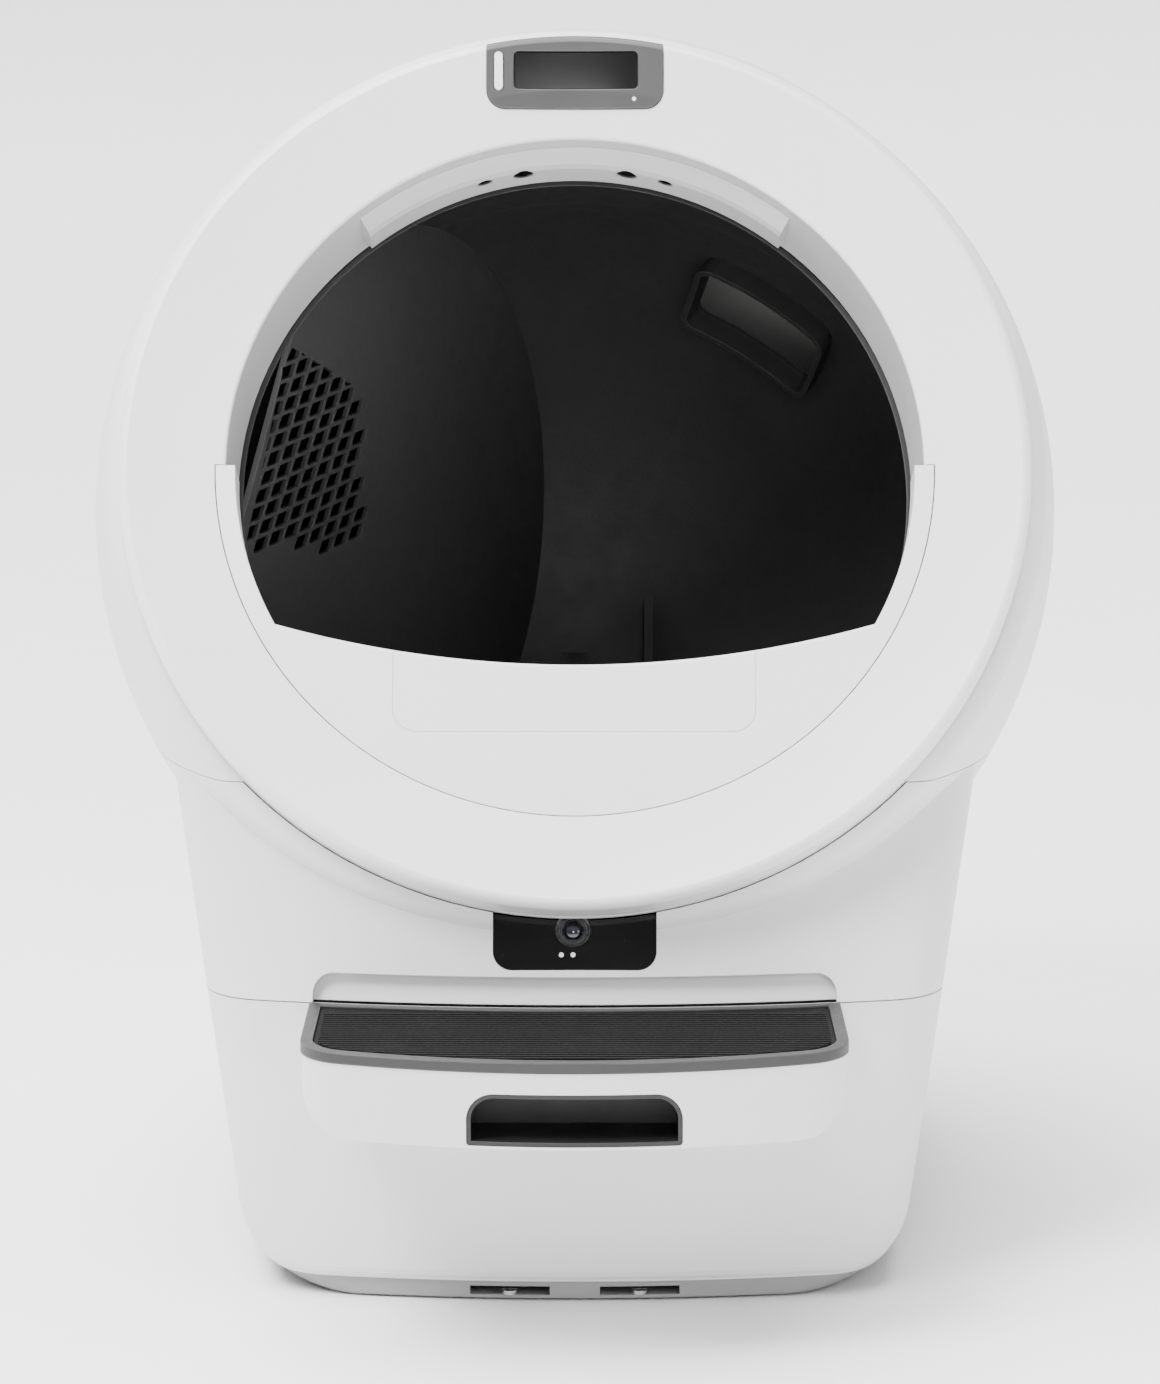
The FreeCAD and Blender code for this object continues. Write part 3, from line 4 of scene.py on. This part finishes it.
import bpy
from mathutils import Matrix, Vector

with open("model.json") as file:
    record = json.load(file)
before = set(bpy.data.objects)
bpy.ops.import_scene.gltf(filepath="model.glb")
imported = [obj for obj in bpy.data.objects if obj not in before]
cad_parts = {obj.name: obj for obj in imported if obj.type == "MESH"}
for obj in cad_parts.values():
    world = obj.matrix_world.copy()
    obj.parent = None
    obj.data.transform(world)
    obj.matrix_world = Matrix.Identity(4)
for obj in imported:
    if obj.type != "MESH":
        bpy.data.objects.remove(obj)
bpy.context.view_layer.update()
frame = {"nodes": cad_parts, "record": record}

# ---- studio sizes, metres and degrees ----
CAMERA_PLACE = (0.003, -2.594, 0.780)
CAMERA_PITCH = 10.13       # down from level
CAMERA_LENS = 111.2        # mm
CAMERA_SENSOR = 36.0       # mm
FLOOR_RADIUS = 9.0         # flat part
EDGE_BEND = 3.0            # radius of the upturned edge
EDGE_TURN = 70.0
EDGE_STEPS = 8
FLOOR_SIDES = 96
FLOOR_TONE = 0.90
OVERHEAD_STRENGTH = 9.0
OVERHEAD_SPREAD = 60.0
OVERHEAD_PLACE = (-0.6, 0.7, 4.0)
OVERHEAD_FROM = (-0.15, 0.18, 1.0)
WORLD_STRENGTH = 0.3
SUBJECT = (0, 0, 0.45)
# name, place, target, side, watts
SOFTBOXES = (
    ("key", (-1.6, -1.5, 3.1), SUBJECT, 1.3, 175.0),
    ("fill", (2.4, -2.2, 1.7), SUBJECT, 1.5, 20.0),
    ("mouth", (0.15, -2.7, 1.35), (0, 0.1, 0.42), 0.5, 13.0),
)


# ---- node helpers ----
class Shader:
    """A material's node tree with short calls for the nodes used here."""

    def __init__(self, name):
        self.material = bpy.data.materials.new(name)
        self.material.use_nodes = True
        self.tree = self.material.node_tree
        self.surface = self.tree.nodes["Principled BSDF"]

    def node(self, kind, **inputs):
        made = self.tree.nodes.new(kind)
        for key, value in inputs.items():
            self.put(made.inputs[key.replace("_", " ")], value)
        return made

    def put(self, socket, value):
        if isinstance(value, bpy.types.NodeSocket):
            self.tree.links.new(value, socket)
        else:
            socket.default_value = value

    def coords(self, scale=(1, 1, 1)):
        place = self.tree.nodes.new("ShaderNodeTexCoord")
        mapping = self.tree.nodes.new("ShaderNodeMapping")
        self.tree.links.new(place.outputs["Object"], mapping.inputs["Vector"])
        mapping.inputs["Scale"].default_value = scale
        return mapping.outputs["Vector"]

    def noise(self, scale, detail=3.0, rough=0.5, vector=None):
        made = self.node("ShaderNodeTexNoise", Scale=scale, Detail=detail, Roughness=rough,
                         Vector=vector or self.coords())
        return made.outputs["Fac"]

    def voronoi(self, scale, vector=None):
        made = self.node("ShaderNodeTexVoronoi", Scale=scale, Vector=vector or self.coords())
        return made.outputs["Distance"]

    def ranged(self, value, low, high, to_low, to_high):
        made = self.tree.nodes.new("ShaderNodeMapRange")
        self.put(made.inputs["Value"], value)
        limits = {"From Min": low, "From Max": high, "To Min": to_low, "To Max": to_high}
        for key, number in limits.items():
            made.inputs[key].default_value = number
        return made.outputs["Result"]

    def math(self, operation, a, b):
        made = self.tree.nodes.new("ShaderNodeMath")
        made.operation = operation
        self.put(made.inputs[0], a)
        self.put(made.inputs[1], b)
        return made.outputs[0]

    def mix(self, factor, a, b):
        made = self.tree.nodes.new("ShaderNodeMix")
        made.data_type = "RGBA"
        self.put(made.inputs["Factor"], factor)
        self.put(made.inputs[6], a)
        self.put(made.inputs[7], b)
        return made.outputs[2]

    def bump(self, height, strength, distance, normal=None):
        made = self.node("ShaderNodeBump", Height=height, Strength=strength, Distance=distance)
        if normal is not None:
            self.put(made.inputs["Normal"], normal)
        return made.outputs["Normal"]

    def soft_edge(self, radius):
        made = self.tree.nodes.new("ShaderNodeBevel")
        made.samples = 4
        made.inputs["Radius"].default_value = radius
        return made.outputs["Normal"]

    def worn(self, soft):
        """1 where the softened normal leaves the true one, so along every edge."""
        geometry = self.tree.nodes.new("ShaderNodeNewGeometry")
        dot = self.tree.nodes.new("ShaderNodeVectorMath")
        dot.operation = "DOT_PRODUCT"
        self.put(dot.inputs[0], soft)
        self.put(dot.inputs[1], geometry.outputs["Normal"])
        return self.ranged(dot.outputs["Value"], 0.985, 0.80, 0.0, 1.0)

    def set(self, **inputs):
        for key, value in inputs.items():
            self.put(self.surface.inputs[key.replace("_", " ")], value)
        return self.material


def rgb(value, warm=0.0):
    """Grey as a colour, leaning to red and away from blue by the share warm."""
    return (value * (1 + warm), value, value * (1 - warm), 1.0)


def moulded(name, value, rough, grain=900.0, depth=0.00006, strength=0.35, warm=0.0, spread=0.05,
            edge=0.0008, edge_tone=None):
    """Moulded plastic: tone drift, fine eroded grain, handled sheen, softened and worn edges."""
    s = Shader(name)
    drift = s.noise(3.2, 4.0, 0.55)
    cloud = s.noise(38.0, 3.0, 0.6)
    low, high = rgb(value * (1 - spread), warm), rgb(value * (1 + spread * 0.5), warm)
    tone = s.mix(s.ranged(drift, 0.3, 0.7, 0.0, 1.0), low, high)
    fleck = s.ranged(s.noise(grain * 0.35, 2.0), 0.25, 0.75, 0.0, 1.0)
    colour = s.mix(s.math("MULTIPLY", fleck, 0.12), tone, rgb(value * 0.88, warm))
    handled = s.ranged(cloud, 0.3, 0.7, -0.05, 0.05)
    sheen = s.math("ADD", handled, s.ranged(fleck, 0.0, 1.0, rough - 0.03, rough + 0.03))
    soft = s.soft_edge(edge)
    wear = s.math("MULTIPLY", s.worn(soft), s.ranged(cloud, 0.35, 0.65, 0.25, 0.9))
    tip = value * 0.9 if edge_tone is None else edge_tone
    colour = s.mix(wear, colour, rgb(tip, warm))
    normal = s.bump(s.noise(grain, 2.0, 0.6), strength, depth, soft)
    return s.set(Base_Color=colour, Roughness=sheen, Normal=normal, Specular_IOR_Level=0.5)


def glossy_black(name, value=0.004, rough=0.08, edge=0.0006):
    """Polished dark panel with a little dust and fine wipe marks."""
    s = Shader(name)
    dust = s.ranged(s.noise(240.0, 5.0, 0.7), 0.62, 0.78, 0.0, 1.0)
    wipe = s.noise(9.0, 4.0, 0.6, s.coords((1.0, 6.0, 1.0)))
    colour = s.mix(s.math("MULTIPLY", dust, 0.25), rgb(value), rgb(0.05))
    smeared = s.ranged(wipe, 0.3, 0.7, rough - 0.03, rough + 0.07)
    sheen = s.math("ADD", smeared, s.math("MULTIPLY", dust, 0.2))
    normal = s.bump(s.noise(60.0, 2.0), 0.05, 0.0001, s.soft_edge(edge))
    return s.set(Base_Color=colour, Roughness=sheen, Normal=normal, Specular_IOR_Level=0.15,
                 Coat_Weight=0.35, Coat_Roughness=0.04)


def rubber(name, value, rough=0.75, grain=500.0, sheen=0.5):
    """Matte rubber with a pebbled skin and lighter scuffs."""
    s = Shader(name)
    scuff = s.ranged(s.noise(18.0, 6.0, 0.7), 0.55, 0.8, 0.0, 1.0)
    pebble = s.voronoi(grain)
    soft = s.soft_edge(0.0006)
    colour = s.mix(s.math("MULTIPLY", scuff, 0.35), rgb(value), rgb(value * 2.0 + 0.01))
    colour = s.mix(s.math("MULTIPLY", s.worn(soft), 0.5), colour, rgb(value * 1.7 + 0.01))
    normal = s.bump(pebble, 0.4, 0.0002, soft)
    patchy = s.ranged(pebble, 0.0, 0.6, rough - 0.08, rough + 0.1)
    return s.set(Base_Color=colour, Roughness=patchy, Normal=normal, Specular_IOR_Level=sheen)


def steel(name, value=0.6, rough=0.3):
    """Drawn or turned steel with fine lines across it."""
    s = Shader(name)
    lines = s.noise(700.0, 4.0, 0.7, s.coords((1.0, 0.03, 0.03)))
    stain = s.noise(60.0, 4.0, 0.6)
    colour = s.mix(s.ranged(stain, 0.4, 0.7, 0.0, 1.0), rgb(value), rgb(value * 0.8, 0.04))
    drawn = s.ranged(lines, 0.2, 0.8, rough - 0.1, rough + 0.12)
    return s.set(Base_Color=colour, Metallic=1.0, Roughness=drawn,
                 Normal=s.bump(lines, 0.2, 0.00008, s.soft_edge(0.0004)))


def glass(name):
    """Coated lens glass with faint polishing rings."""
    s = Shader(name)
    ring = s.noise(400.0, 2.0)
    return s.set(Base_Color=rgb(0.02), Roughness=s.ranged(ring, 0.3, 0.7, 0.02, 0.06), Coat_Weight=1.0,
                 Coat_Tint=(0.75, 0.8, 1.0, 1.0), Normal=s.bump(ring, 0.03, 0.00002))


def felt(name, value):
    """Carbon felt: matted fibres with darker pits."""
    s = Shader(name)
    fibre = s.noise(1400.0, 5.0, 0.8, s.coords((1.0, 0.4, 1.7)))
    pits = s.voronoi(420.0)
    colour = s.mix(fibre, rgb(value * 0.6), rgb(value * 1.8))
    return s.set(Base_Color=colour, Roughness=s.ranged(fibre, 0, 1, 0.85, 1.0),
                 Normal=s.bump(pits, 0.7, 0.0006))


def board(name):
    """Circuit board lacquer with a pattern of tracks."""
    s = Shader(name)
    weave = s.voronoi(160.0, s.coords((1.0, 0.2, 1.0)))
    colour = s.mix(s.ranged(weave, 0.1, 0.3, 0.0, 1.0), (0.03, 0.16, 0.06, 1), (0.012, 0.08, 0.03, 1))
    return s.set(Base_Color=colour, Roughness=s.ranged(s.noise(90.0), 0.3, 0.7, 0.3, 0.45),
                 Normal=s.bump(weave, 0.2, 0.0002, s.soft_edge(0.0003)))


materials = {
    "shell_white": moulded("shell_white", 0.70, 0.42),
    "bezel_white": moulded("bezel_white", 0.80, 0.40),
    "collar_grey": moulded("collar_grey", 0.50, 0.42),
    "globe_black": moulded("globe_black", 0.024, 0.58, grain=420.0, depth=0.00035, strength=0.6,
                           spread=0.15, edge_tone=0.10),
    "screen_black": moulded("screen_black", 0.045, 0.45, grain=500.0, depth=0.0002, spread=0.15,
                            edge_tone=0.14),
    "liner_rubber": rubber("liner_rubber", 0.04),
    "mat_rubber": rubber("mat_rubber", 0.006, 0.85, sheen=0.2),
    "trim_grey": moulded("trim_grey", 0.022, 0.5, spread=0.12, edge=0.0016, edge_tone=0.12),
    # Near-black lining for the finger recess under the step: painted shade, standing for the shadow
    # inside the recess
    "recess_painted_shade": moulded("recess_painted_shade", 0.010, 0.5, spread=0.2, edge_tone=0.05),
    "display_grey": moulded("display_grey", 0.050, 0.36, spread=0.1, edge=0.0014, edge_tone=0.18),
    "black_glass": glossy_black("black_glass"),
    "lens_glass": glass("lens_glass"),
    "lens_black": moulded("lens_black", 0.018, 0.28, spread=0.1, edge=0.0003, edge_tone=0.09),
    "light_white": moulded("light_white", 0.88, 0.35, edge=0.0004),
    # plinth_grey at 0.26 is painted shade: the plinth is darkened to stand for the shadow it sits in
    # under the body
    "plinth_grey": moulded("plinth_grey", 0.26, 0.5, spread=0.1),
    "inner_grey": moulded("inner_grey", 0.25, 0.55, spread=0.1),
    "foot_rubber": rubber("foot_rubber", 0.03),
    "steel": steel("steel"),
    "motor_steel": steel("motor_steel", 0.5, 0.38),
    "gear_nylon": moulded("gear_nylon", 0.62, 0.5, warm=0.03, edge=0.0003),
    "carbon": felt("carbon", 0.03),
    "board_green": board("board_green"),
    "jack_black": moulded("jack_black", 0.02, 0.45, edge=0.0003, edge_tone=0.06),
}

slots = {part["node"]: part["material_slot"] for part in frame["record"]["subparts"]}
# the handle lining gets the near-black painted-shade material for the shadowed finger recess
slots["handle_lining"] = "recess_painted_shade"
for name, piece in frame["nodes"].items():
    piece.data.materials.clear()
    piece.data.materials.append(materials[slots[name]])
    for face in piece.data.polygons:
        face.material_index = 0


# ---- camera ----
camera_data = bpy.data.cameras.new("camera")
camera_data.sensor_width = CAMERA_SENSOR
camera_data.lens = CAMERA_LENS
camera = bpy.data.objects.new("camera", camera_data)
camera.location = CAMERA_PLACE
camera.rotation_euler = (math.radians(90.0 - CAMERA_PITCH), 0.0, 0.0)
bpy.context.scene.collection.objects.link(camera)
bpy.context.scene.camera = camera


# ---- floor and light ----
def floor_dish():
    """Round studio floor whose far edge turns up a little on every side."""
    rings = [(FLOOR_RADIUS, 0.0)]
    for step in range(1, EDGE_STEPS + 1):
        angle = math.radians(EDGE_TURN) * step / EDGE_STEPS
        rings.append((FLOOR_RADIUS + EDGE_BEND * math.sin(angle), EDGE_BEND * (1 - math.cos(angle))))
    count = FLOOR_SIDES
    vertices = [(0.0, 0.0, 0.0)]
    for radius, height in rings:
        for k in range(count):
            turn = 2 * math.pi * k / count
            vertices.append((radius * math.cos(turn), radius * math.sin(turn), height))
    faces = [(0, 1 + k, 1 + (k + 1) % count) for k in range(count)]
    for ring in range(len(rings) - 1):
        low, high = 1 + ring * count, 1 + (ring + 1) * count
        for k in range(count):
            after = (k + 1) % count
            faces.append((low + k, high + k, high + after, low + after))
    mesh = bpy.data.meshes.new("floor")
    mesh.from_pydata(vertices, [], faces)
    for face in mesh.polygons:
        face.use_smooth = True
    made = bpy.data.objects.new("floor", mesh)
    bpy.context.scene.collection.objects.link(made)
    mesh.materials.append(moulded("floor_pale", FLOOR_TONE, 0.8, grain=60.0, depth=0.0002, strength=0.1,
                                  spread=0.01))
    return made


def add_light(name, data, place, direction):
    light = bpy.data.objects.new(name, data)
    light.location = place
    light.rotation_euler = direction.to_track_quat("-Z", "Y").to_euler()
    bpy.context.scene.collection.objects.link(light)


def overhead():
    """Broad even light from overhead, leaning from the back left."""
    data = bpy.data.lights.new("overhead", "SUN")
    data.energy = OVERHEAD_STRENGTH
    data.angle = math.radians(OVERHEAD_SPREAD)
    add_light("overhead", data, OVERHEAD_PLACE, -Vector(OVERHEAD_FROM))


def softbox(name, place, target, side, power):
    data = bpy.data.lights.new(name, "AREA")
    data.shape = "RECTANGLE"
    data.size = side
    data.size_y = side
    data.energy = power
    add_light(name, data, place, Vector(target) - Vector(place))


floor_dish()
overhead()
for settings in SOFTBOXES:
    softbox(*settings)
world = bpy.data.worlds.new("world")
world.use_nodes = True
background = world.node_tree.nodes["Background"]
background.inputs["Color"].default_value = (1, 1, 1, 1)
background.inputs["Strength"].default_value = WORLD_STRENGTH
bpy.context.scene.world = world
